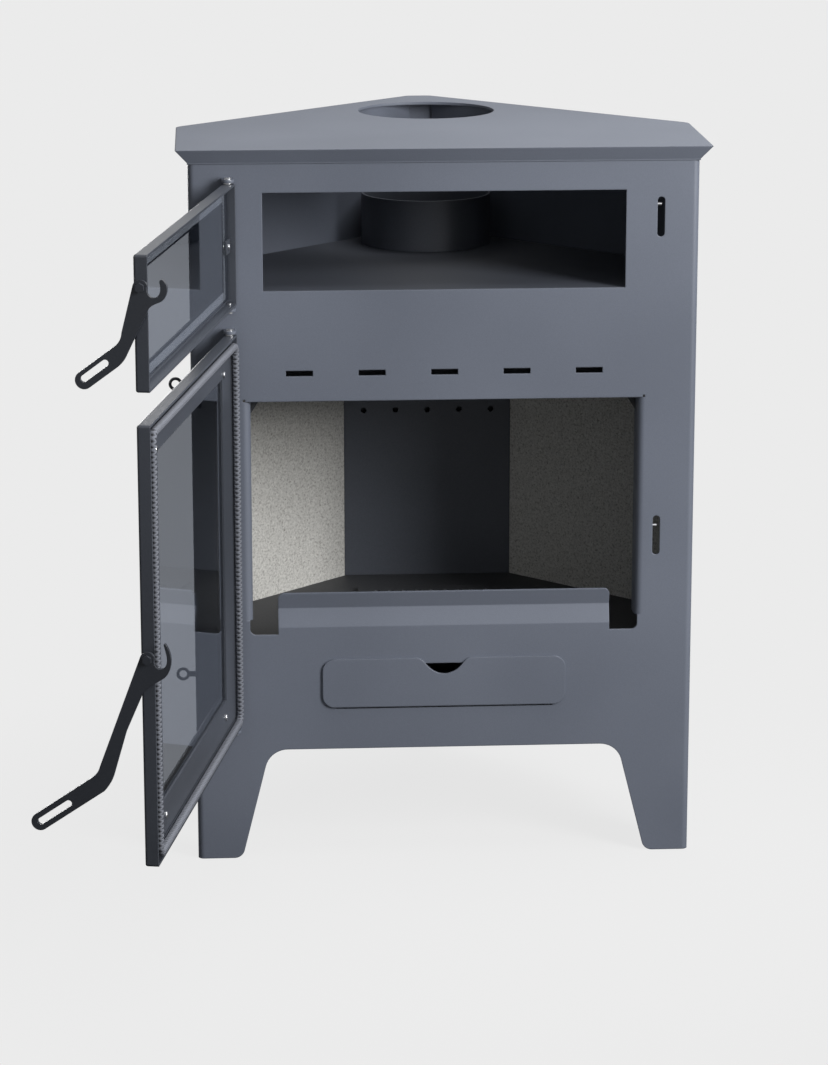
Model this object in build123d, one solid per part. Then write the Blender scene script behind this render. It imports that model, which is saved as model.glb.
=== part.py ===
"""Corner wood-burning stove with an oven above the firebox, both glazed doors standing open.

Drawn in the stove's own directions: X to the right, Y to the back from the front panel's face,
Z up from the floor. On export everything is moved so that the origin is the centre of the flue
spigot's rim. Millimetres throughout.
"""
from build123d import *
import math
import os

os.makedirs("parts", exist_ok=True)

# Casing
sheet = 3.0
body_half = 329.5
front_return = 45.0
bend_radius = 8.0
rear_half = 16.0
side_depth = 199.0
apron_height = 150.8
clearance = 0.3
floor_clearance = 1.0

# Feet of the front panel
foot_width = 59.2
foot_slope = 38.1
arch_radius = 30.0
foot_radius = 14.0

# Top plate
plate_overhang = 15.5
plate_top = 953.0
plate_thickness = 4.0
plate_front = -10.0
plate_side_overhang = 30.5
plate_rear_half = 16.0
plate_side_radius = 25.0
plate_rear_radius = 12.0
rim_drop = 17.0
rim_front_inset = 9.0
rim_side_inset = 15.0
rim_lip = 2.0
rim_wall = 3.0

# Flue
flue_from_rear = 140.0
flue_outer_radius = 90.0
flue_wall = 3.0
flue_height = 70.0
flue_hole_radius = 94.4

# Openings in the front panel
oven_margin = 94.9
oven_sill = 769.0
oven_head = 896.5
firebox_margin = 77.0
firebox_head = 623.6
firebox_notch_bottom = 309.5
notch_reach = 4.0
notch_radius = 8.0
flange_bottom = 329.0
jamb_radius = 10.0
jamb_depth = 30.0
lip_side_gap = 33.1
lip_bend_height = 319.0
lip_knee_height = 344.0
lip_knee_depth = 6.7
lip_height = 365.0
lip_corner = 8.0
air_slot_length = 35.0
air_slot_height = 7.4
air_slot_pitch = 94.4
air_slot_count = 5
air_slot_z = 660.5
latch_inset = 49.5
latch_slot_width = 9.6
latch_slots = ((835.0, 887.0), (411.0, 464.0))

# Ash drawer
drawer_half = 161.5
drawer_bottom = 208.6
drawer_top = 274.9
drawer_corner = 16.0
drawer_notch_half = 28.0
drawer_notch_depth = 21.9
drawer_shoulder = 9.0
drawer_hole_half = 144.0
drawer_hole_bottom = 206.0
drawer_hole_top = 267.0
drawer_tray_depth = 285.0
tray_clearance = 2.0
tray_sheet = 1.5

# Firebox inside
hearth_z = 296.0
hearth_thickness = 4.0
brick_room = 54.5
back_half = 116.0
back_sheet = 4.0
brick_thickness = 30.0
brick_top = 640.0
baffle_thickness = 25.0
back_hole_radius = 4.0
back_hole_pitch = 44.7
back_hole_z = 535.0
back_hole_count = 5
grate_half_x = 95.0
grate_half_y = 80.0
grate_y = 190.0
grate_slots = 9
grate_slot_width = 9.0

# Doors
hinge_inset = 51.2
hinge_y = -13.0
door_open = 100.7
door_heel = 8.0
door_depth = 16.0
door_edge_radius = 2.9
door_corner_radius = 3.0
window_hinge_margin = 83.0
window_free_margin = 69.0
window_foot = 64.3
window_head = 47.4
upper_window_margin = 24.0
upper_door = (752.0, 910.2)
lower_door = (185.7, 714.4)
glass_thickness = 4.0
pin_radius = 3.0
pin_fit = 0.05
ear_thickness = 4.0
ear_half = 8.0
ear_gap = 2.2
washer_thickness = 1.6
rope_diameter = 10.0
rope_inset = 11.9
rope_stand = 0.3

# Handles and catches
handle_thickness = 5.0
handle_gap = 1.2
hook_play = 0.6
bolt_radius = 3.0
bolt_head = 4.0
bolt_head_radius = 5.77
pivot_y = 0.7
upper_pivot_z = 874.1
lower_pivot_z = 439.9
catch_pin_radius = 2.5
catch_pin_y = 5.8
catch_heights = (877.0, 450.0)
catch_plate_gap = 17.0

# Air controls
wire_radius = 2.0
ring_radius = 7.0
pull_stand = 29.0
lower_pull_stand = 25.5
control_y = 20.0
upper_control_drop = 15.5
lower_control_z = 252.4
duct_margin = 39.5
strip_margin = 50.0
duct_depth = 40.0
duct_height = 55.0
strip_below = 18.5
strip_above = 15.5
guide_gap = 0.4
valve_radius = 13.0
chamber_skin = 2.0

foot_inner = body_half - foot_width
arch_half = foot_inner - foot_slope
plate_half = body_half + plate_overhang
plate_diagonal = plate_half + side_depth + plate_side_overhang
body_diagonal = body_half + side_depth
flue_y = body_diagonal - flue_from_rear
flue_rim_height = oven_sill + flue_height
oven_half = body_half - oven_margin
firebox_half = body_half - firebox_margin
firebox_notch_outer = firebox_half + notch_reach
lip_half = firebox_half - lip_side_gap
brick_line = body_diagonal - brick_room
back_y = brick_line - back_half
hinge_x = hinge_inset - body_half
latch_x = body_half - latch_inset
door_reach = latch_x - hinge_x - handle_gap - handle_thickness / 2 - hook_play
catch_plate_x = latch_x - catch_plate_gap
pull_reach = body_half + pull_stand
lower_pull_reach = body_half + lower_pull_stand
upper_control_z = air_slot_z - upper_control_drop
duct_half = body_half - duct_margin
duct_bottom = air_slot_z - duct_height / 2
duct_top = air_slot_z + duct_height / 2
strip_half = duct_half - strip_margin
strip_low = air_slot_z - strip_below
strip_high = air_slot_z + strip_above
panel_top = plate_top - plate_thickness
root_two = math.sqrt(2)
home = Pos(0, -flue_y, -flue_rim_height)


def save(name, shape):
    """Write one named piece, moved so that the flue spigot's rim centre is the origin."""
    export_step(home * shape, f"parts/{name}.step")


def box(x0, x1, y0, y1, z0, z1):
    """A block between two corners."""
    return Pos((x0 + x1) / 2, (y0 + y1) / 2, (z0 + z1) / 2) * Box(x1 - x0, y1 - y0, z1 - z0)


def rod(x, y, z, radius, length, direction=(0, 0, 1)):
    """A round bar that starts at a point and runs along a direction."""
    return Solid.make_cylinder(radius, length, Plane((x, y, z), z_dir=direction))


def prism(points, z0, z1):
    """A straight-sided block on a polygon in plan."""
    return extrude(Plane.XY.offset(z0) * make_face(Polyline(*points, close=True)), z1 - z0)


def through(shape, y0, y1):
    """A sketch drawn in (x, z), run along Y between two depths."""
    plane = Plane((0, y0, 0), x_dir=(1, 0, 0), z_dir=(0, -1, 0))
    return extrude(plane * shape, -(y1 - y0))


def corners(face, test, radius):
    """Round the corners of a face that pass a test on (x, y)."""
    return fillet([v for v in face.vertices() if test(v.X, v.Y)], radius)


def plan(half, front, diagonal, back_half):
    """The stove's plan: straight front, two short sides, two diagonals and a narrow back."""
    side = diagonal - half
    back = diagonal - back_half
    return [(-half, front), (half, front), (half, side), (back_half, back), (-back_half, back), (-half, side)]


def level(z0, z1, gap=floor_clearance, front=sheet + 1):
    """A level plate that fills the casing between two heights."""
    half = body_half - 2 * sheet - gap
    return prism(plan(half, front, body_diagonal - (sheet + gap) * root_two, rear_half), z0, z1)


def plate_outline(front_inset, side_inset, z):
    """The top plate's plan at one height, with its rounded rear corners."""
    diagonal = plate_diagonal - side_inset * root_two
    points = plan(plate_half - side_inset, plate_front + front_inset, diagonal, plate_rear_half)
    face = make_face(Polyline(*points, close=True))
    face = corners(face, lambda x, y: abs(x) > 200 and y > 100, plate_side_radius - side_inset / 2)
    face = corners(face, lambda x, y: y > 500, plate_rear_radius)
    return Plane.XY.offset(z) * face


def top_plate():
    """A plate whose edge folds down and in all round, ending in a short upright lip."""
    fold = plate_top - rim_drop
    front_lean = rim_front_inset * plate_thickness / rim_drop
    side_lean = rim_side_inset * plate_thickness / rim_drop
    outside = loft([plate_outline(0, 0, plate_top), plate_outline(rim_front_inset, rim_side_inset, fold)], ruled=True)
    hollow = loft([plate_outline(front_lean + rim_wall, side_lean + rim_wall, panel_top),
                   plate_outline(rim_front_inset + rim_wall, rim_side_inset + rim_wall, fold)], ruled=True)
    lip = extrude(plate_outline(rim_front_inset, rim_side_inset, fold - rim_lip), rim_lip)
    lip -= extrude(plate_outline(rim_front_inset + rim_wall, rim_side_inset + rim_wall, fold - rim_lip), rim_lip)
    room = plan(body_half + clearance, -clearance, body_diagonal + clearance * root_two, rear_half)
    plate = outside - hollow + lip - prism(room, fold - 10, panel_top)
    return plate - rod(0, flue_y, fold - 10, flue_hole_radius, 40)


def leg_outline():
    """The front panel's face with its two tapering feet and the arch between them."""
    face = make_face(Polyline(
        (-body_half, panel_top), (-body_half, 0), (-foot_inner, 0), (-arch_half, apron_height),
        (arch_half, apron_height), (foot_inner, 0), (body_half, 0), (body_half, panel_top), close=True))
    face = corners(face, lambda x, y: abs(abs(x) - foot_inner) < 1, foot_radius)
    return corners(face, lambda x, y: abs(abs(x) - arch_half) < 1, arch_radius)


def firebox_cut():
    """The firebox opening in the flat sheet: a wide hole with a deep notch each side of the lip."""
    shape = Pos(0, (flange_bottom + firebox_head) / 2) * Rectangle(
        2 * (firebox_half + jamb_radius), firebox_head - flange_bottom)
    width = firebox_notch_outer - lip_half
    for side in (-1, 1):
        notch = make_face(Polyline(
            (side * lip_half, firebox_notch_bottom), (side * firebox_notch_outer, firebox_notch_bottom),
            (side * firebox_notch_outer, flange_bottom), (side * lip_half, flange_bottom), close=True))
        shape += corners(notch, lambda x, y: y < firebox_notch_bottom + 1 and abs(x) > lip_half + width / 2,
                         notch_radius)
        shape += Pos(side * (firebox_half + jamb_radius - 1.5), firebox_head + 1.5) * Rectangle(3, 3)
    bridge = Pos(0, (lip_bend_height + flange_bottom + 2) / 2) * Rectangle(
        2 * lip_half, flange_bottom + 2 - lip_bend_height)
    return shape + bridge


def front_panel():
    """One folded sheet: face, side returns, two feet, all openings, jambs and retaining lip."""
    half = body_half
    profile = make_face(Polyline(
        (-half, front_return), (-half, 0), (half, 0), (half, front_return),
        (half - sheet, front_return), (half - sheet, sheet),
        (sheet - half, sheet), (sheet - half, front_return), close=True))
    profile = corners(profile, lambda x, y: y < 1, bend_radius)
    profile = corners(profile, lambda x, y: abs(y - sheet) < 0.1, bend_radius - sheet)
    panel = extrude(profile, panel_top) & through(leg_outline(), 0, front_return)
    cuts = Pos(0, (oven_sill + oven_head) / 2) * Rectangle(2 * oven_half, oven_head - oven_sill)
    cuts += firebox_cut()
    for i in range(air_slot_count):
        x = (i - (air_slot_count - 1) / 2) * air_slot_pitch
        cuts += Pos(x, air_slot_z) * Rectangle(air_slot_length, air_slot_height)
    for low, high in latch_slots:
        cuts += Pos(latch_x, (low + high) / 2) * RectangleRounded(
            latch_slot_width, high - low, latch_slot_width / 2 - 0.01)
    cuts += Pos(0, (drawer_hole_bottom + drawer_hole_top) / 2) * Rectangle(
        2 * drawer_hole_half, drawer_hole_top - drawer_hole_bottom)
    panel -= through(cuts, 0, sheet)
    for z in (upper_control_z, lower_control_z):
        panel -= rod(-body_half - 1, control_y, z, 3 * wire_radius, 10, (1, 0, 0))
    return panel + jamb(-1) + jamb(1) + lip()


def jamb(side):
    """One side of the firebox opening, folded into the stove on a generous radius."""
    x0 = side * firebox_half
    x1 = side * (firebox_half + sheet)
    x2 = side * (firebox_half + jamb_radius)
    profile = make_face(Polyline((x2, 0), (x0, 0), (x0, jamb_depth), (x1, jamb_depth), (x1, sheet),
                                 (x2, sheet), close=True))
    profile = corners(profile, lambda x, y: abs(x - x0) < 0.1 and y < 0.1, jamb_radius - 0.01)
    profile = corners(profile, lambda x, y: abs(x - x1) < 0.1 and abs(y - sheet) < 0.1,
                      jamb_radius - sheet - 0.02)
    return extrude(Plane.XY.offset(flange_bottom) * profile, firebox_head - flange_bottom)


def lip():
    """The retaining lip: it leans back, then turns forward again, with rounded upper corners."""
    points = [(0, lip_bend_height), (lip_knee_depth, lip_knee_height), (1.2, lip_height),
              (1.2 + sheet, lip_height + 0.8), (lip_knee_depth + sheet, lip_knee_height),
              (sheet, lip_bend_height)]
    plane = Plane((-lip_half, 0, 0), x_dir=(0, 1, 0), z_dir=(1, 0, 0))
    blade = extrude(plane * make_face(Polyline(*points, close=True)), 2 * lip_half)
    height = lip_height + 0.8 - lip_bend_height
    face = Pos(0, lip_bend_height + height / 2) * Rectangle(2 * lip_half, height)
    return blade & through(corners(face, lambda x, y: y > lip_height, lip_corner), -5, 30)


def casing_side(side):
    """Side and diagonal wall in one bent sheet, its front edge lapped inside the front return."""
    x = body_half - sheet
    lap_y = front_return - 20
    knee = body_diagonal - body_half
    step = sheet * root_two
    points = [(x, lap_y), (x, front_return + 1), (body_half, front_return + 1), (body_half, knee),
              (rear_half, body_diagonal - rear_half), (rear_half, body_diagonal - rear_half - step),
              (x - sheet, knee - step + 2 * sheet), (x - sheet, lap_y)]
    wall = prism([(side * px, py) for px, py in points], apron_height, panel_top)
    if side < 0:
        for z in (upper_control_z, lower_control_z):
            wall -= rod(-body_half - 1, control_y, z, 3 * wire_radius, 20, (1, 0, 0))
    return wall


def rear_strip():
    """Narrow back strip that laps round both diagonals and runs down as the rear foot."""
    flange = 32.0
    step = sheet * root_two
    apex = body_diagonal - rear_half
    outer = sheet * math.tan(math.radians(22.5))
    points = [(-rear_half - flange, apex - flange), (-rear_half, apex), (rear_half, apex),
              (rear_half + flange, apex - flange), (rear_half + flange, apex - flange + step),
              (rear_half + outer, apex + sheet), (-rear_half - outer, apex + sheet),
              (-rear_half - flange, apex - flange + step)]
    strip = prism(points, 0, panel_top)
    spread = rear_half + flange + 5
    keep = make_face(Polyline((-rear_half - 8, 0), (rear_half + 8, 0), (spread, apron_height),
                              (spread, panel_top), (-spread, panel_top), (-spread, apron_height), close=True))
    return strip & through(keep, apex - 60, apex + 20)


def foot_pads():
    """Flat soles under the two front feet and the rear foot."""
    pads = []
    for side in (-1, 1):
        low, high = sorted((side * (foot_inner + foot_radius + 4), side * (body_half - bend_radius - 0.2)))
        pads.append(box(low, high, sheet, front_return - 2, 0, sheet))
    apex = body_diagonal - rear_half
    pads.append(box(0.5 - rear_half, rear_half - 0.5, apex - 20, apex, 0, sheet))
    return Compound(pads)


def oven_floor():
    """The oven's floor, with the hole that the flue spigot stands over."""
    return level(oven_sill - sheet, oven_sill) - rod(0, flue_y, oven_sill - 20, flue_outer_radius - flue_wall - 3, 60)


def flue_spigot():
    """Open round spigot that stands on the oven floor and takes the flue pipe."""
    height = flue_rim_height - oven_sill
    tube = rod(0, flue_y, oven_sill, flue_outer_radius, height)
    return tube - rod(0, flue_y, oven_sill, flue_outer_radius - flue_wall, height)


def hearth_plate():
    """The firebox floor, with the square hole that the grate lies in."""
    plate = level(hearth_z - hearth_thickness, hearth_z)
    return plate - box(-grate_half_x, grate_half_x, grate_y - grate_half_y, grate_y + grate_half_y,
                       hearth_z - 20, hearth_z + 20)


def grate():
    """Cast grate with a rim that lies on the hearth and parallel slots through it."""
    x, y = grate_half_x - 1, grate_half_y - 1
    body = box(-x, x, grate_y - y, grate_y + y, hearth_z - 12, hearth_z)
    body += box(-x - 9, x + 9, grate_y - y - 9, grate_y + y + 9, hearth_z, hearth_z + 4)
    pitch = 2 * (x - 8) / grate_slots
    for i in range(grate_slots):
        slot = RectangleRounded(grate_slot_width, 2 * y - 24, grate_slot_width / 2 - 0.01)
        body -= Pos(8 - x + (i + 0.5) * pitch, grate_y, hearth_z) * extrude(slot, 20, both=True)
    return body


def firebox_back():
    """Steel back of the firebox with its row of air holes."""
    wall = box(-back_half - 1, back_half + 1, back_y, back_y + back_sheet, hearth_z, brick_top)
    for i in range(back_hole_count):
        x = (i - (back_hole_count - 1) / 2) * back_hole_pitch
        wall -= rod(x, back_y - 5, back_hole_z, back_hole_radius, 20, (0, 1, 0))
    return wall


def rear_air_duct():
    """Shallow channel on the rear of the back wall that feeds its holes."""
    skin = 2.0
    y0 = back_y + back_sheet
    outer = box(-back_half, back_half, y0, y0 + 24, hearth_z, back_hole_z + 20)
    return outer - box(skin - back_half, back_half - skin, y0, y0 + 22, hearth_z, back_hole_z + 18)


def firebrick(side):
    """Vermiculite board that lines one diagonal, from the steel back to the side wall."""
    x0 = back_half + 1.5
    x1 = body_half - 2 * sheet - 2
    step = brick_thickness * root_two
    points = [(x0, brick_line - x0), (x1, brick_line - x1), (x1, brick_line - x1 + step),
              (x0, brick_line - x0 + step)]
    return prism([(side * x, y) for x, y in points], hearth_z, brick_top)


def lining_clips():
    """Small angles in the opening's upper corners."""
    clips = []
    for side in (-1, 1):
        x = side * firebox_half
        face = make_face(Polyline((x, firebox_head), (x - side * 13, firebox_head), (x, firebox_head - 21),
                                  close=True))
        clips.append(through(face, 24, 26))
    return Compound(clips)


def baffle():
    """Loose vermiculite board on top of the lining, stopping short of the front for the smoke."""
    top = body_half - 2 * sheet - 12
    front = 100.0
    diagonal = brick_line + 24
    points = [(-top, front), (top, front), (top, diagonal - top), (diagonal - back_y - 6, back_y + 6),
              (back_y + 6 - diagonal, back_y + 6), (-top, diagonal - top)]
    return prism(points, brick_top, brick_top + baffle_thickness)


def air_duct():
    """Folded channel behind the five slots that leads air down over the glass."""
    skin = 2.0
    half = duct_half
    channel = box(-half, half, sheet, sheet + duct_depth, duct_bottom, duct_top)
    channel -= box(skin - half, half - skin, sheet, sheet + duct_depth - skin, duct_bottom + skin, duct_top - skin)
    channel -= box(20 - half, half - 20, sheet + 6, sheet + 12, duct_bottom - 1, duct_bottom + skin + 1)
    return channel - box(-half - 1, skin - half + 1, control_y - 3, control_y + 3,
                         upper_control_z - 6, upper_control_z + 6)


def ash_chamber():
    """Sheet box under the hearth that the drawer slides in, with an air hole in its left side."""
    half = drawer_hole_half + chamber_skin
    low = drawer_hole_bottom - chamber_skin
    high = hearth_z - hearth_thickness
    back = sheet + drawer_tray_depth + 15
    outer = box(-half, half, sheet, back, low, high)
    inner = box(chamber_skin - half, half - chamber_skin, sheet, back - chamber_skin, drawer_hole_bottom, high)
    return outer - inner - rod(-half - 1, control_y, lower_control_z, valve_radius - 3, 10, (1, 0, 0))


def drawer_front():
    """Overlay front with rounded corners and a finger notch with eased shoulders."""
    middle = (drawer_bottom + drawer_top) / 2
    face = Pos(0, middle) * RectangleRounded(2 * drawer_half, drawer_top - drawer_bottom, drawer_corner)
    deep = drawer_top - drawer_notch_depth
    wide = drawer_notch_half + drawer_shoulder
    narrow = drawer_notch_half - drawer_shoulder
    mouth = make_face([
        Line((-wide, drawer_top + 1), (wide, drawer_top + 1)),
        Line((wide, drawer_top + 1), (wide, drawer_top)),
        Spline((wide, drawer_top), (narrow + 4, drawer_top - 10), (0, deep), (-narrow - 4, drawer_top - 10),
               (-wide, drawer_top), tangents=((-1, 0), (-1, 0))),
        Line((-wide, drawer_top), (-wide, drawer_top + 1))])
    return through(face - mouth, -sheet, 0)


def drawer_tray():
    """Open tray behind the drawer's front."""
    x = drawer_hole_half - tray_clearance
    low = drawer_hole_bottom + 1
    high = drawer_top - drawer_notch_depth - 4
    t = tray_sheet
    tray = box(-x, x, 0, drawer_tray_depth, low, high)
    return tray - box(t - x, x - t, t, drawer_tray_depth - t, low + t, high)


def ring_pull(reach, z, shank_end):
    """Wire pull: a ring outside the casing and two shanks side by side going in."""
    centre = -reach + ring_radius + wire_radius
    ring = Pos(centre, control_y, z) * Rot(90, 0, 0) * Torus(ring_radius, wire_radius)
    start = centre + ring_radius - 1.5
    for way in (-1, 1):
        ring += rod(start, control_y, z + way * (wire_radius - 0.2), wire_radius, shank_end - start, (1, 0, 0))
    return ring


def upper_air_strip():
    """Slotted strip that slides behind the five slots."""
    half = strip_half
    strip = box(-half, half, sheet + 0.5, sheet + 2.5, strip_low, strip_high)
    for i in range(air_slot_count):
        x = (i - (air_slot_count - 1) / 2) * air_slot_pitch
        reach = air_slot_length / 2 + 0.5
        rise = air_slot_height / 2 + 1.3
        strip -= box(x - reach, x + reach, sheet - 1, sheet + 4, air_slot_z - rise, air_slot_z + rise)
    tab = box(-half, 3 - half, sheet + 2.5, control_y + 4, upper_control_z - 3, upper_control_z + 8)
    return strip + tab


def strip_guides():
    """Clips behind the panel that hold the sliding strip."""
    clips = []
    for x in (-140, 0, 140):
        for z, way in ((strip_high + guide_gap, 1), (strip_low - guide_gap, -1)):
            near, far = sorted((z, z + way * 3))
            stem = box(x - 8, x + 8, sheet, sheet + 5, near, far)
            near, far = sorted((z - way * 4, z + way * 3))
            clips.append(stem + box(x - 8, x + 8, sheet + 3, sheet + 5, near, far))
    return Compound(clips)


def lower_air_valve():
    """Disc that covers the hole in the ash chamber's side."""
    edge = -drawer_hole_half - chamber_skin
    return rod(edge - 2.3, control_y, lower_control_z, valve_radius, 2.0, (1, 0, 0))


def hung(shape):
    """Swing a piece drawn on the closed door to where the door stands open."""
    return Pos(hinge_x, hinge_y, 0) * Rot(0, 0, -door_open) * Pos(-hinge_x, -hinge_y, 0) * shape


door_face = hinge_y - door_depth / 2
door_inside = door_face + sheet
door_back = door_face + door_depth
door_left = hinge_x - door_heel
door_right = hinge_x + door_reach


def ring(inset, z0, z1, width, y0, y1):
    """A flat rectangular ring set in from the door's edges."""
    x0, x1 = door_left + inset, door_right - inset
    outer = box(x0, x1, y0, y1, z0 + inset, z1 - inset)
    return outer - box(x0 + width, x1 - width, y0 - 1, y1 + 1, z0 + inset + width, z1 - inset - width)


def door_pan(z0, z1, window, pivot_z):
    """Folded pan with a window, rounded outer edges, two hinge holes and a hole for the lever."""
    pan = box(door_left, door_right, door_face, door_back, z0, z1)
    pan = fillet(pan.edges().filter_by(Axis.Y), door_corner_radius)
    pan = fillet(pan.edges().group_by(Axis.Y)[0], door_edge_radius)
    pan -= box(door_left + sheet, door_right - sheet, door_inside, door_back + 1, z0 + sheet, z1 - sheet)
    x0, x1, low, high = window
    opening = box(x0, x1, door_face - 5, door_inside + 1, low, high)
    pan -= fillet(opening.edges().filter_by(Axis.Y), 6)
    for z in (z0 - 1, z1 - sheet - 1):
        pan -= rod(hinge_x, hinge_y, z, pin_radius + pin_fit, sheet + 2)
    return pan - rod(door_right - sheet - 1, hinge_y + pivot_y, pivot_z, bolt_radius + pin_fit, sheet + 2, (1, 0, 0))


def rope(z0, z1, inset, y):
    """A round rope laid in a rectangle with rounded corners."""
    x0, x1 = door_left + inset, door_right - inset
    plane = Plane(((x0 + x1) / 2, y, (z0 + z1) / 2), x_dir=(1, 0, 0), z_dir=(0, -1, 0))
    path = plane * RectangleRounded(x1 - x0, z1 - z0 - 2 * inset, 12).wire()
    section = Plane(path.position_at(0), z_dir=path.tangent_at(0)) * Circle(rope_diameter / 2)
    return sweep(section, path=path)


def screw(x, y, z, radius=4.0, height=2.2):
    """A low domed screw head on the inside of a door."""
    head = rod(x, y, z, radius, height, (0, 1, 0))
    return fillet(head.edges().sort_by(Axis.Y)[-1], height * 0.6)


def grip_slot(a, b):
    """Long hole in a lever's grip between two centres."""
    length = math.hypot(b[0] - a[0], b[1] - a[1])
    angle = math.degrees(math.atan2(b[1] - a[1], b[0] - a[0]))
    return Pos((a[0] + b[0]) / 2, (a[1] + b[1]) / 2) * Rot(0, 0, angle) * SlotCenterToCenter(length, 8.0)


def upper_lever():
    """Outline of the oven door's lever, measured from its pivot."""
    face = make_face([
        ThreePointArc((-8.3, 2.5), (0, 8.7), (8.4, 2.2)),
        Spline((8.4, 2.2), (8.6, -7.0), (12.5, -11.2), (18.5, -10.5), (22.8, -5), (23.2, 1.5), (22.3, 6.2)),
        ThreePointArc((22.3, 6.2), (24.2, 9.2), (27.0, 8.0)),
        Spline((27.0, 8.0), (30.8, 0.5), (29.5, -8.5), (24.5, -15.2), (17.5, -18.4), (11, -22.5), (7.2, -29)),
        Line((7.2, -29), (-7.8, -59)),
        Line((-7.8, -59), (-18, -80)),
        Spline((-18, -80), (-22.5, -86.8), (-29, -92.8)),
        Line((-29, -92.8), (-60.2, -115.9)),
        ThreePointArc((-60.2, -115.9), (-74.9, -113.8), (-72.8, -99.1)),
        Line((-72.8, -99.1), (-31.5, -68.4)),
        Spline((-31.5, -68.4), (-25.5, -62.3), (-22.2, -52)),
        Line((-22.2, -52), (-8.3, 2.5))])
    return face - Circle(bolt_radius + pin_fit) - grip_slot((-66.9, -106.0), (-41.7, -87.2))


def lower_lever():
    """Outline of the firebox door's lever, measured from its pivot."""
    face = make_face([
        ThreePointArc((-8.8, 2.0), (0, 9.0), (8.6, 2.2)),
        Spline((8.6, 2.2), (8.8, -7.0), (13.0, -11.0), (18.5, -10.2), (22.3, -4.5), (23.0, 1.5), (21.6, 10),
               (19.8, 17.2)),
        ThreePointArc((19.8, 17.2), (20.6, 19.4), (22, 18.6)),
        Spline((22, 18.6), (26.4, 9), (27.7, 0.5), (26.5, -9.5), (21.5, -19.5), (13, -25.5), (2, -32.5),
               (-8.5, -46)),
        Line((-8.5, -46), (-26.7, -88)),
        Line((-26.7, -88), (-42, -140)),
        Spline((-42, -140), (-45.5, -149), (-54, -161)),
        Line((-54, -161), (-125.6, -210.2)),
        ThreePointArc((-125.6, -210.2), (-140.2, -207.4), (-137.4, -192.8)),
        Line((-137.4, -192.8), (-70, -146.2)),
        Spline((-70, -146.2), (-63, -140), (-58.5, -130.5)),
        Line((-58.5, -130.5), (-8.8, 2.0))])
    return face - Circle(bolt_radius + pin_fit) - grip_slot((-130.5, -200.8), (-97.0, -177.8))


def on_edge(x, pivot_z):
    """Plane on the door's free edge, drawn as (away from the room, up) with the door closed."""
    return Plane((x, hinge_y + pivot_y, pivot_z), x_dir=(0, 1, 0), z_dir=(1, 0, 0))


def lever(outline, pivot_z):
    """A lever cut from plate, standing just off the door's free edge."""
    return hung(extrude(on_edge(door_right + handle_gap, pivot_z) * outline, handle_thickness))


def lever_bolt(pivot_z):
    """Hex bolt that the lever turns on, fixed through the door's edge."""
    start = door_right - sheet - 3.2
    top = door_right + handle_gap + handle_thickness + 0.4
    shank = rod(start, hinge_y + pivot_y, pivot_z, bolt_radius - 0.01, top - start, (1, 0, 0))
    return hung(shank + extrude(on_edge(top, pivot_z) * Rot(0, 0, 30) * RegularPolygon(bolt_head_radius, 6), bolt_head))


def lever_washer(pivot_z):
    """Spacing washer between the lever and the door's edge."""
    face = Circle(6.4) - Circle(bolt_radius + 0.2)
    return hung(extrude(on_edge(door_right + 0.1, pivot_z) * face, handle_gap - 0.3))


def lever_nut(pivot_z):
    """Thin nut on the inside of the door's edge."""
    face = Rot(0, 0, 30) * RegularPolygon(bolt_head_radius, 6) - Circle(bolt_radius)
    return hung(extrude(on_edge(door_right - sheet - 3.2, pivot_z) * face, 3.2))


def catch_brackets():
    """Plates welded edge-on behind the panel, one beside each latch slot."""
    brackets = []
    for z in catch_heights:
        web = box(catch_plate_x, catch_plate_x + 4, sheet, catch_pin_y + 7, z - 14, z + 14)
        brackets.append(web - rod(catch_plate_x - 1, catch_pin_y, z, catch_pin_radius, 6, (1, 0, 0)))
    return Compound(brackets)


def catch_pins():
    """Pins that the levers' hooks pull on."""
    length = latch_x + 1 - catch_plate_x
    return Compound([rod(catch_plate_x, catch_pin_y, z, catch_pin_radius, length, (1, 0, 0)) for z in catch_heights])


def hinge_ears():
    """Four drilled ears on the panel, above and below each door."""
    ears = []
    for z0, z1 in (upper_door, lower_door):
        for z in (z1 + ear_gap, z0 - ear_gap - ear_thickness):
            outline = make_face(Polyline((-ear_half, 0), (ear_half, 0), (ear_half, hinge_y), (-ear_half, hinge_y),
                                         close=True))
            outline += Pos(0, hinge_y) * Circle(ear_half)
            ear = Pos(hinge_x, 0, z) * extrude(outline, ear_thickness)
            ears.append(ear - rod(hinge_x, hinge_y, z - 1, pin_radius, ear_thickness + 2))
    return Compound(ears)


def hinge_pins():
    """Headed pins, pressed in the ears and running into the doors' flanges."""
    pins = []
    for z0, z1 in (upper_door, lower_door):
        top = z1 + ear_gap + ear_thickness
        pins.append(rod(hinge_x, hinge_y, z1 - sheet - 1.5, pin_radius, top - z1 + sheet + 1.5)
                    + rod(hinge_x, hinge_y, top, 5, 2.5))
        low = z0 - ear_gap - ear_thickness
        pins.append(rod(hinge_x, hinge_y, low, pin_radius, z0 + sheet + 1.5 - low)
                    + rod(hinge_x, hinge_y, low - 2.5, 5, 2.5))
    return Compound(pins)


def hinge_washers():
    """Washers between the ears and the doors."""
    washers = []
    for z0, z1 in (upper_door, lower_door):
        for z in (z1 + ear_gap - washer_thickness, z0 - ear_gap):
            washers.append(rod(hinge_x, hinge_y, z, 6, washer_thickness)
                           - rod(hinge_x, hinge_y, z - 1, pin_radius, 5))
    return Compound(washers)


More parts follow.
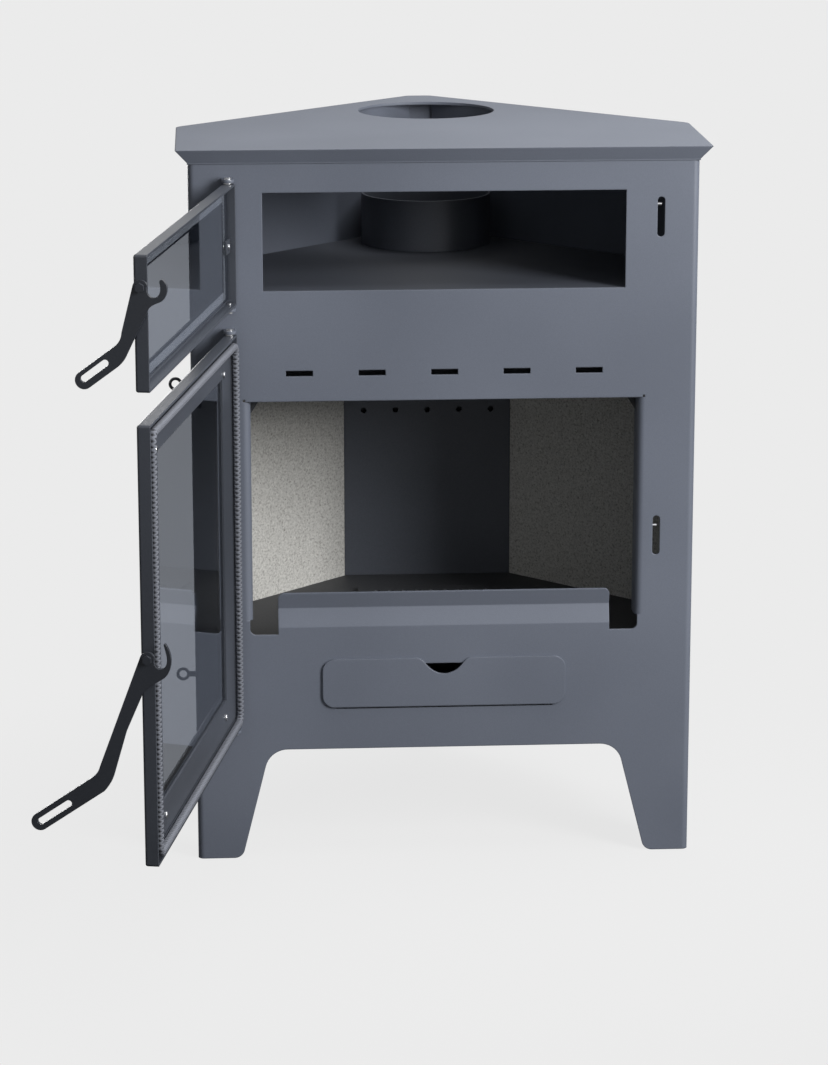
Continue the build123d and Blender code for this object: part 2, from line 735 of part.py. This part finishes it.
def build_casing():
    save("top_plate", top_plate())
    save("front_panel", front_panel())
    save("left_casing", casing_side(-1))
    save("right_casing", casing_side(1))
    save("rear_strip", rear_strip())
    save("foot_pads", foot_pads())
    save("bottom_plate", level(apron_height + 5, apron_height + 5 + sheet))
    save("oven_floor", oven_floor())
    save("flue_spigot", flue_spigot())


def build_firebox():
    save("hearth_plate", hearth_plate())
    save("grate", grate())
    save("firebox_back", firebox_back())
    save("rear_air_duct", rear_air_duct())
    save("left_firebrick", firebrick(-1))
    save("right_firebrick", firebrick(1))
    save("lining_clips", lining_clips())
    save("baffle", baffle())
    save("air_duct", air_duct())
    save("strip_guides", strip_guides())
    save("ash_chamber", ash_chamber())


def build_drawer():
    save("drawer_front", drawer_front())
    save("drawer_tray", drawer_tray())


def build_air_controls():
    save("upper_air_pull", ring_pull(pull_reach, upper_control_z, -strip_half))
    save("upper_air_strip", upper_air_strip())
    save("lower_air_pull", ring_pull(lower_pull_reach, lower_control_z, -drawer_hole_half - chamber_skin - 2.3))
    save("lower_air_valve", lower_air_valve())


def build_upper_door():
    z0, z1 = upper_door
    glass_back = door_inside + 0.4 + glass_thickness
    margin = upper_window_margin
    window = (door_left + margin, door_right - margin, z0 + margin, z1 - margin)
    save("upper_door_pan", hung(door_pan(z0, z1, window, upper_pivot_z)))
    pane = box(door_left + 10, door_right - 10, door_inside + 0.4, glass_back, z0 + 10, z1 - 10)
    save("upper_glass", hung(pane))
    save("upper_glass_seal", hung(ring(10, z0, z1, 11, door_inside, door_inside + 0.4)))
    clips = []
    screws = []
    middle = (z0 + z1) / 2
    for x, way in ((door_left + sheet, 1), (door_right - sheet, -1)):
        low, high = sorted((x + way * 0.5, x + way * 25))
        clips.append(box(low, high, glass_back, glass_back + 2, middle - 9, middle + 9))
        screws.append(screw(x + way * 14, glass_back + 2, middle))
    save("upper_glass_clips", hung(Compound(clips)))
    save("upper_clip_screws", hung(Compound(screws)))


def build_lower_door():
    z0, z1 = lower_door
    left, right = door_left + window_hinge_margin, door_right - window_free_margin
    low, high = z0 + window_foot, z1 - window_head
    save("lower_door_pan", hung(door_pan(z0, z1, (left, right, low, high), lower_pivot_z)))
    rope_y = -rope_stand - rope_diameter / 2
    seat_face = rope_y - rope_diameter / 2
    save("rope_gasket", hung(rope(z0, z1, rope_inset, rope_y)))
    save("rope_seat", hung(ring(rope_inset - 4, z0, z1, 8, door_inside, seat_face)))
    glass_back = door_inside + 0.4 + glass_thickness
    edge = 14.0
    pane = box(left - edge, right + edge, door_inside + 0.4, glass_back, low - edge, high + edge)
    save("lower_glass", hung(pane))
    seal = box(left - edge, right + edge, door_inside, door_inside + 0.4, low - edge, high + edge)
    save("lower_glass_seal", hung(seal - box(left, right, door_face, door_back, low, high)))
    bars = []
    thick = 3.0
    outer = rope_inset + 6.5
    bar_left, bar_right = door_left + outer, door_right - outer
    bar_low, bar_high = z0 + outer, z1 - outer
    gap = 4.0
    for x0, x1, a, b in ((bar_left, left - gap, bar_low, bar_high), (right + gap, bar_right, bar_low, bar_high),
                         (left - gap + 0.4, right + gap - 0.4, bar_low, low - gap),
                         (left - gap + 0.4, right + gap - 0.4, high + gap, bar_high)):
        bars.append(box(x0, x1, glass_back, glass_back + thick, a, b))
    save("glass_bars", hung(Compound(bars)))
    screws = []
    for x, z in ((left - 14, high + 8), (right + 14, high + 8), (left + 5, low - 25), (right - 6, low - 25)):
        screws.append(screw(x, glass_back + thick, z, 4.5, 2.4))
    save("bar_screws", hung(Compound(screws)))


def build_levers():
    for name, outline, z in (("upper", upper_lever(), upper_pivot_z), ("lower", lower_lever(), lower_pivot_z)):
        save(f"{name}_lever", lever(outline, z))
        save(f"{name}_lever_bolt", lever_bolt(z))
        save(f"{name}_lever_washer", lever_washer(z))
        save(f"{name}_lever_nut", lever_nut(z))


def build_hardware():
    save("catch_brackets", catch_brackets())
    save("catch_pins", catch_pins())
    save("hinge_ears", hinge_ears())
    save("hinge_pins", hinge_pins())
    save("hinge_washers", hinge_washers())


build_casing()
build_firebox()
build_drawer()
build_air_controls()
build_upper_door()
build_lower_door()
build_levers()
build_hardware()
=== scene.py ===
import math
import bpy
import numpy as np
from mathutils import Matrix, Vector


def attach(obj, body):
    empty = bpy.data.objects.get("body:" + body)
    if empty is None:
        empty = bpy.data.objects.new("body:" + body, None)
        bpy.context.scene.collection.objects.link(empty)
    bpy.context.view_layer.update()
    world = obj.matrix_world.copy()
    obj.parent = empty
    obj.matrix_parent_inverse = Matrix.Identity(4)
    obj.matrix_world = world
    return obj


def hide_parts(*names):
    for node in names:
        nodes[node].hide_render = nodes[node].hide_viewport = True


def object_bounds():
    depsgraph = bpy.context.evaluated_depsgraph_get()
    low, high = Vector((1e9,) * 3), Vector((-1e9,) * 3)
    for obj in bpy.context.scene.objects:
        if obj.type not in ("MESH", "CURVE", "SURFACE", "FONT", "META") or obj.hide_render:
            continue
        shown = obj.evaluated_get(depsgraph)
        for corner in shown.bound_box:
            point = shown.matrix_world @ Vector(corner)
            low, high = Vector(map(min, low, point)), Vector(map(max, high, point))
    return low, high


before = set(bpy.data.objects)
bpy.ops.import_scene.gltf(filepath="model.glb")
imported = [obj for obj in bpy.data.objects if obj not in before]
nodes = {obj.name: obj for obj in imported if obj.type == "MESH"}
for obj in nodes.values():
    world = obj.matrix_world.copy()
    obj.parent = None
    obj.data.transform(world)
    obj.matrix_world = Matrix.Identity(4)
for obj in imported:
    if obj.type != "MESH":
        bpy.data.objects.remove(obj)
cad_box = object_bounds()
scene = bpy.context.scene

# Casing and drawer front.
# Folded steel sheet in a blue-grey powder coat with a fine matte grain that catches light along
# its folds. The top plate is coated flatter, so that it doesn't glare when seen against the light.
coat_dark = (0.118, 0.132, 0.166)
coat_light = (0.158, 0.175, 0.216)
coat_grain = 1100.0
coat_relief = 0.16
fold_softness = 0.002
usual_grain = 900.0
usual_relief = 0.1
usual_softness = 0.0008


def add(tree, kind, **settings):
    """Put a node in a tree; each setting is the value of the input of that name."""
    node = tree.nodes.new("ShaderNode" + kind)
    for name, value in settings.items():
        node.inputs[name.replace("_", " ")].default_value = value
    return node


def maths(tree, operation, *values):
    """A math node; a value of None leaves its socket to be linked."""
    node = tree.nodes.new("ShaderNodeMath")
    node.operation = operation
    for socket, value in zip(node.inputs, values):
        if value is not None:
            socket.default_value = value
    return node


def link(tree, *pairs):
    """Join nodes; each pair is (node, output, node, input)."""
    for source, output, target, entry in pairs:
        tree.links.new(source.outputs[output], target.inputs[entry])


def ramp(tree, *stops):
    """A colour ramp through (position, colour) stops in rising order."""
    node = tree.nodes.new("ShaderNodeValToRGB")
    steps = node.color_ramp.elements
    while len(steps) < len(stops):
        steps.new(1.0)
    for step, (position, colour) in zip(steps, stops):
        step.position = position
        step.color = (*colour, 1)
    return node


def blank(name):
    """A new material and its node tree."""
    material = bpy.data.materials.new(name)
    material.use_nodes = True
    return material, material.node_tree


grain = bpy.data.node_groups.new("coating_grain", "ShaderNodeTree")
for name, value in (("Scale", usual_grain), ("Depth", usual_relief), ("Edge", usual_softness)):
    socket = grain.interface.new_socket(name, in_out="INPUT", socket_type="NodeSocketFloat")
    socket.default_value = value
grain.interface.new_socket("Shade", in_out="OUTPUT", socket_type="NodeSocketFloat")
grain.interface.new_socket("Normal", in_out="OUTPUT", socket_type="NodeSocketVector")
given = grain.nodes.new("NodeGroupInput")
result = grain.nodes.new("NodeGroupOutput")
place = add(grain, "TexCoord")
fine = add(grain, "TexNoise", Detail=3.0)
wide = add(grain, "TexNoise", Scale=3.0, Detail=2.0)
blend = maths(grain, "MULTIPLY_ADD", None, 0.55)
worn = add(grain, "Bevel")
worn.samples = 4
pits = add(grain, "Bump", Distance=0.0006)
link(grain,
     (place, "Object", fine, "Vector"), (given, "Scale", fine, "Scale"), (place, "Object", wide, "Vector"),
     (fine, "Fac", blend, 0), (wide, "Fac", blend, 2), (blend, 0, result, "Shade"),
     (given, "Edge", worn, "Radius"), (worn, "Normal", pits, "Normal"), (given, "Depth", pits, "Strength"),
     (fine, "Fac", pits, "Height"), (pits, "Normal", result, "Normal"))


def coated(name, dark, light, roughness, scale=usual_grain, relief=usual_relief, edge=usual_softness,
           metallic=0.0):
    """A coated or bare metal: its colour runs between two tones with the grain, its edges are soft."""
    material, tree = blank(name)
    surface = tree.nodes["Principled BSDF"]
    surface.inputs["Roughness"].default_value = roughness
    surface.inputs["Metallic"].default_value = metallic
    texture = add(tree, "Group")
    texture.node_tree = grain
    for socket, value in (("Scale", scale), ("Depth", relief), ("Edge", edge)):
        texture.inputs[socket].default_value = value
    tones = ramp(tree, (0.55, dark), (1.0, light))
    link(tree, (texture, "Shade", tones, "Fac"), (tones, "Color", surface, "Base Color"),
         (texture, "Normal", surface, "Normal"))
    return material


def dress(material, *names):
    """Give CAD pieces a material."""
    for name in names:
        nodes[name].data.materials.clear()
        nodes[name].data.materials.append(material)


casing_coat = coated("powder_coat", coat_dark, coat_light, roughness=0.42,
                     scale=coat_grain, relief=coat_relief, edge=fold_softness)
top_coat = coated("top_coat", coat_dark, coat_light, roughness=0.58,
                  scale=coat_grain, relief=coat_relief, edge=fold_softness)
dress(top_coat, "top_plate")
dress(casing_coat, "front_panel", "left_casing", "right_casing", "rear_strip", "foot_pads", "bottom_plate",
      "drawer_front", "hinge_ears")

# Inside steel.
# Dark heat-resistant sheet of the oven, the firebox back, the air channels and the drawer's tray,
# folded or welded up and fixed inside the casing.
inner_steel = coated("inner_steel", (0.05, 0.056, 0.07), (0.076, 0.084, 0.104), roughness=0.5, scale=700.0)
dress(inner_steel, "oven_floor", "flue_spigot", "firebox_back", "rear_air_duct", "air_duct", "strip_guides",
      "ash_chamber", "catch_brackets", "drawer_tray", "upper_air_strip", "lower_air_valve")

# Grate and hearth.
# Rough sooty iron of the cast grate, which lies in the hearth plate. The hearth plate and the clips above,
# which hold the lining, take the same near-black colour as painted shade where they sit in the firebox's
# shadow.
grate_iron = coated("grate_iron", (0.02, 0.021, 0.024), (0.045, 0.047, 0.052), roughness=0.6,
                    scale=350.0, relief=0.5)
# Painted shade: the hearth plate and the lining clips are made near black like the grate.
dress(grate_iron, "grate", "hearth_plate", "lining_clips")

# Vermiculite lining and baffle.
# Pressed board that stands loose in the firebox: a pale ground with fine dark and light flakes in
# low relief.
board, tree = blank("vermiculite")
surface = tree.nodes["Principled BSDF"]
surface.inputs["Roughness"].default_value = 0.9
place = add(tree, "TexCoord")
flakes = add(tree, "TexVoronoi", Scale=480.0)
specks = add(tree, "TexNoise", Scale=330.0, Detail=5.0, Roughness=0.75)
tones = ramp(tree, (0.33, (0.25, 0.24, 0.215)), (0.47, (0.58, 0.57, 0.54)), (0.72, (0.76, 0.75, 0.71)))
relief = add(tree, "Bump", Strength=0.5, Distance=0.0008)
grey = add(tree, "RGBToBW")
mottle = add(tree, "Mix")
mottle.data_type = "RGBA"
mottle.blend_type = "MULTIPLY"
mottle.inputs["Factor"].default_value = 0.2
link(tree,
     (place, "Object", flakes, "Vector"), (place, "Object", specks, "Vector"),
     (specks, "Fac", tones, "Fac"), (tones, "Color", mottle, "A"),
     (flakes, "Color", grey, "Color"), (grey, "Val", mottle, "B"),
     (mottle, "Result", surface, "Base Color"), (specks, "Fac", relief, "Height"),
     (relief, "Normal", surface, "Normal"))
dress(board, "left_firebrick", "right_firebrick", "baffle")

# Door pans, glass bars and clips.
# Folded pans and flat bars in the casing's coat, a little smoother, and painted darker as shade, since the
# open doors face away from the key lamp.
door_coat_painted_shade = coated("door_coat_painted_shade", (0.04, 0.045, 0.056), (0.066, 0.073, 0.09), roughness=0.38,
                   scale=coat_grain, relief=0.14, edge=0.0009)
dress(door_coat_painted_shade, "upper_door_pan", "lower_door_pan", "glass_bars", "upper_glass_clips", "rope_seat")

# Ceramic glass of both doors.
# Grey-tinted and clear, mirror-like when seen along the pane. Only the face that the ray enters by
# reflects, for both, because the ray isn't bent inside and would turn back at the far face.
two_face_share = 1.4
glass, tree = blank("fire_glass")
tree.nodes.remove(tree.nodes["Principled BSDF"])
tinted = add(tree, "BsdfTransparent", Color=(0.58, 0.6, 0.635, 1))
mirror = add(tree, "BsdfGlossy", Color=(0.92, 0.94, 0.97, 1), Roughness=0.04)
grazing = add(tree, "Fresnel", IOR=1.5)
side = add(tree, "NewGeometry")
near_face = maths(tree, "SUBTRACT", 1.0)
near_shine = maths(tree, "MULTIPLY")
both_faces = maths(tree, "MULTIPLY", None, two_face_share)
both_faces.use_clamp = True
pane = add(tree, "MixShader")
link(tree,
     (side, "Backfacing", near_face, 1), (grazing, "Fac", near_shine, 0), (near_face, 0, near_shine, 1),
     (near_shine, 0, both_faces, 0), (both_faces, 0, pane, "Fac"), (tinted, "BSDF", pane, 1),
     (mirror, "BSDF", pane, 2), (pane, "Shader", tree.nodes["Material Output"], "Surface"))
dress(glass, "upper_glass", "lower_glass")

# Flat seals under the panes.
# Thin glass-fibre strip, dark under the lower pane and paler under the upper one.
seal_grain = 600.0
dark_seal = coated("seal_strip", (0.02, 0.021, 0.024), (0.05, 0.052, 0.058), roughness=0.85,
                   scale=seal_grain, relief=0.4)
dress(dark_seal, "lower_glass_seal")
pale_seal = coated("pale_seal_strip", (0.7, 0.71, 0.72), (0.8, 0.81, 0.82), roughness=0.8,
                   scale=seal_grain, relief=0.3)
dress(pale_seal, "upper_glass_seal")

# Braided rope seal of the lower door.
# One closed glass-fibre rope laid on its seat round the door, on the rounded rectangle that the
# CAD bar follows, with two crossing sets of strands. It turns with the door.
millimetre = 0.001
hinge_x, hinge_y = -278.3, -401.5
door_turn = math.radians(-100.7)
door_heel, door_reach = 8.0, 554.0
door_foot, door_head = -653.3, -124.6
seal_inset = 11.9
seal_depth = 7.7
seal_corner = 12.0
rope_radius = 5.0
strand_pitch = 5.9
strand_valley = 0.76
steps_per_strand = 6
corner_steps = 8
points_round = 24
along = np.array([math.cos(door_turn), math.sin(door_turn)])
inward = np.array([-math.sin(door_turn), math.cos(door_turn)])


def seal_path(left, right, low, high, corner, pitch):
    """Points along a rounded rectangle, evenly spaced by its length, and the strands' phase there.

    Each corner is centre + corner * (cos a, sin a) over a quarter turn. The phase is 2 pi times the
    share of the way round, times the whole number of strand pitches that fits.
    """
    turn = np.linspace(0, math.pi / 2, corner_steps + 1)
    centres = ((right, high, -1, -1), (left, high, 1, -1), (left, low, 1, 1), (right, low, -1, 1))
    bends = [np.stack([x + way_x * corner + corner * np.cos(turn + k * math.pi / 2),
                       z + way_z * corner + corner * np.sin(turn + k * math.pi / 2)], -1)
             for k, (x, z, way_x, way_z) in enumerate(centres)]
    bends = np.concatenate(bends + [bends[0][:1]])
    run = np.concatenate([[0], np.cumsum(np.hypot(*np.diff(bends, axis=0).T))])
    turns = round(run[-1] / pitch)
    s = np.linspace(0, run[-1], turns * steps_per_strand, endpoint=False)
    phase = 2 * math.pi * s * turns / run[-1]
    return np.interp(s, run, bends[:, 0]), np.interp(s, run, bends[:, 1]), phase


def braid(x, z, phase, radius, depth):
    """A closed tube along a path in the door's plane, whose radius swells under each strand.

    At phase p along the path and angle a round the section, the radius is
    radius * (0.76 + 0.24 * max(cos(u / 2) ** 2, cos(v / 2) ** 2)), with u = p + 2 a and v = p - 2 a.
    """
    ahead_x = np.roll(x, -1) - np.roll(x, 1)
    ahead_z = np.roll(z, -1) - np.roll(z, 1)
    length = np.hypot(ahead_x, ahead_z)
    out_x, out_z = ahead_z / length, -ahead_x / length
    a = np.linspace(0, 2 * math.pi, points_round, endpoint=False)
    u = phase[:, None] + 2 * a
    v = phase[:, None] - 2 * a
    strand_swell_and_shade = np.maximum(np.cos(u / 2) ** 2, np.cos(v / 2) ** 2)
    r = radius * (strand_valley + (1 - strand_valley) * strand_swell_and_shade)
    across = x[:, None] + out_x[:, None] * r * np.cos(a)
    deep = depth + r * np.sin(a)
    height = z[:, None] + out_z[:, None] * r * np.cos(a)
    points = np.stack([hinge_x * millimetre + across * along[0] + deep * inward[0],
                       hinge_y * millimetre + across * along[1] + deep * inward[1], height], -1)
    i, j = np.meshgrid(np.arange(len(x)), np.arange(points_round), indexing="ij")
    i_next, j_next = (i + 1) % len(x), (j + 1) % points_round
    quads = np.stack([i * points_round + j, i_next * points_round + j, i_next * points_round + j_next,
                      i * points_round + j_next], -1)
    mesh = bpy.data.meshes.new("braided_rope")
    mesh.from_pydata(points.reshape(-1, 3).tolist(), [], quads.reshape(-1, 4).tolist())
    mesh.polygons.foreach_set("use_smooth", [True] * len(mesh.polygons))
    # The swell is kept on the points as well, where the rope's colour turns it into painted shade.
    mesh.attributes.new("strand_swell_and_shade", "FLOAT", "POINT").data.foreach_set("value", strand_swell_and_shade.ravel())
    return mesh


seal_x, seal_z, strand_phase = seal_path(
    (seal_inset - door_heel) * millimetre, (door_reach - seal_inset) * millimetre,
    (door_foot + seal_inset) * millimetre, (door_head - seal_inset) * millimetre,
    seal_corner * millimetre, strand_pitch * millimetre)
rope = bpy.data.objects.new("braided_rope", braid(
    seal_x, seal_z, strand_phase, rope_radius * millimetre, seal_depth * millimetre))
scene.collection.objects.link(rope)
fibre, tree = blank("seal_rope")
surface = tree.nodes["Principled BSDF"]
surface.inputs["Roughness"].default_value = 0.75
# Painted shade: the rope is near black in the valleys between strands and grey on their crests.
strand_swell_and_shade = add(tree, "Attribute")
strand_swell_and_shade.attribute_name = "strand_swell_and_shade"
tones = ramp(tree, (0.1, (0.012, 0.013, 0.016)), (0.85, (0.17, 0.18, 0.21)))
hairs = add(tree, "TexNoise", Scale=2600.0)
fuzz = add(tree, "Bump", Strength=0.6, Distance=0.0004)
place = add(tree, "TexCoord")
link(tree,
     (place, "Object", hairs, "Vector"), (hairs, "Fac", fuzz, "Height"),
     (fuzz, "Normal", surface, "Normal"), (strand_swell_and_shade, "Fac", tones, "Fac"),
     (tones, "Color", surface, "Base Color"))
rope.data.materials.append(fibre)
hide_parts("rope_gasket")
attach(rope, "lower_door")

# Levers, their bolts and the wire pulls.
# Satin near-black coating, smoother than the casing's.
dark_coat = coated("black_hardware", (0.026, 0.029, 0.037), (0.044, 0.049, 0.06), roughness=0.36,
                   scale=1300.0, relief=0.08, edge=0.0006)
dress(dark_coat, "upper_lever", "lower_lever", "upper_lever_bolt", "lower_lever_bolt", "upper_air_pull",
      "lower_air_pull")

# Bright zinc fastenings.
# Plated steel pins, washers and nuts, and the screws that hold the panes.
zinc = coated("zinc_steel", (0.5, 0.51, 0.53), (0.72, 0.73, 0.75), roughness=0.28,
              scale=500.0, relief=0.05, edge=0.0003, metallic=1.0)
dress(zinc, "catch_pins", "hinge_pins", "hinge_washers", "upper_clip_screws", "bar_screws",
      "upper_lever_washer", "lower_lever_washer", "upper_lever_nut", "lower_lever_nut")

# Floor.
# Pale sheet that takes a soft shadow of the feet and fades into the same pale background. Away from
# the camera it is dark, so that it throws little light up under the stove.
studio_grey = (0.831, 0.831, 0.831, 1)
floor_reach = 12.0
floor_level = cad_box[0][2]
fade_centre = (0.0, -0.3, floor_level)
floor_mesh = bpy.data.meshes.new("studio_floor")
floor_mesh.from_pydata([(-floor_reach, -floor_reach, floor_level), (floor_reach, -floor_reach, floor_level),
                        (floor_reach, floor_reach, floor_level), (-floor_reach, floor_reach, floor_level)],
                       [], [(0, 1, 2, 3)])
floor = bpy.data.objects.new("studio_floor", floor_mesh)
scene.collection.objects.link(floor)
pale_floor, tree = blank("studio_floor")
surface = tree.nodes["Principled BSDF"]
surface.inputs["Roughness"].default_value = 0.9
ground = add(tree, "Mix")
ground.data_type = "RGBA"
ground.inputs["A"].default_value = (0.06, 0.06, 0.06, 1)
ground.inputs["B"].default_value = (0.8, 0.8, 0.8, 1)
glow = add(tree, "Emission", Color=studio_grey)
place = add(tree, "TexCoord")
away = add(tree, "VectorMath")
away.operation = "DISTANCE"
away.inputs[1].default_value = fade_centre
fade = add(tree, "MapRange", From_Min=0.25, From_Max=0.9, To_Min=0.92, To_Max=1.0)
ray = add(tree, "LightPath")
seen = maths(tree, "MAXIMUM")
share = maths(tree, "MULTIPLY")
sheet = add(tree, "MixShader")
link(tree,
     (place, "Object", away, 0), (away, "Value", fade, "Value"), (ray, "Is Camera Ray", seen, 0),
     (ray, "Is Transmission Ray", seen, 1), (seen, 0, share, 0), (seen, 0, ground, "Factor"),
     (ground, "Result", surface, "Base Color"), (fade, "Result", share, 1), (share, 0, sheet, "Fac"),
     (surface, "BSDF", sheet, 1), (glow, "Emission", sheet, 2),
     (sheet, "Shader", tree.nodes["Material Output"], "Surface"))
floor.data.materials.append(pale_floor)

# World.
# Even dim fill for the object, and the pale studio colour where the camera or a reflection sees it.
world = bpy.data.worlds.new("studio")
scene.world = world
world.use_nodes = True
tree = world.node_tree
fill = tree.nodes["Background"]
fill.inputs["Color"].default_value = (0.93, 0.96, 1.0, 1)
fill.inputs["Strength"].default_value = 0.15
white = add(tree, "Background", Color=studio_grey, Strength=1.0)
ray = add(tree, "LightPath")
seen = maths(tree, "MAXIMUM")
sky = add(tree, "MixShader")
link(tree,
     (ray, "Is Camera Ray", seen, 0), (ray, "Is Glossy Ray", seen, 1), (seen, 0, sky, "Fac"),
     (fill, "Background", sky, 1), (white, "Background", sky, 2),
     (sky, "Shader", tree.nodes["World Output"], "Surface"))

# Lamps.
# A broad key from the front right, a soft overhead, a weak front fill and a wide low lamp behind.
for name, stand, aim, size, power, tint in (
        ("key", (1.95, -2.2, 0.85), (0.0, -0.4, -0.35), (0.95, 1.5), 98.0, (1.0, 1.0, 1.0)),
        ("overhead", (0.9, -0.2, 2.6), (0.0, -0.1, 0.0), (2.4, 2.0), 60.0, (1.0, 1.0, 1.0)),
        ("front", (1.0, -4.6, 1.3), (0.0, -0.3, -0.3), (2.4, 2.0), 3.0, (0.95, 0.97, 1.0)),
        ("rear", (-0.6, 3.4, -0.25), (0.0, 0.0, -0.35), (4.5, 0.65), 80.0, (1.0, 1.0, 1.0))):
    lamp = bpy.data.lights.new(name, "AREA")
    lamp.shape = "RECTANGLE"
    lamp.size, lamp.size_y = size
    lamp.energy = power
    lamp.color = tint
    holder = bpy.data.objects.new(name, lamp)
    holder.location = stand
    holder.rotation_euler = (Vector(aim) - Vector(stand)).to_track_quat("-Z", "Y").to_euler()
    scene.collection.objects.link(holder)

# Camera.
# The photograph's view: a long lens from slightly above and left of the middle.
camera = bpy.data.cameras.new("photo")
camera.sensor_width = 36.0
camera.lens = 117.49
camera.clip_start = 0.05
camera.clip_end = 100.0
eye = bpy.data.objects.new("photo", camera)
eye.location = (-0.30449, -4.81289, 0.70903)
eye.rotation_euler = (math.radians(76.037), math.radians(0.046), math.radians(-3.432))
scene.collection.objects.link(eye)
scene.camera = eye
scene.view_settings.view_transform = "Standard"
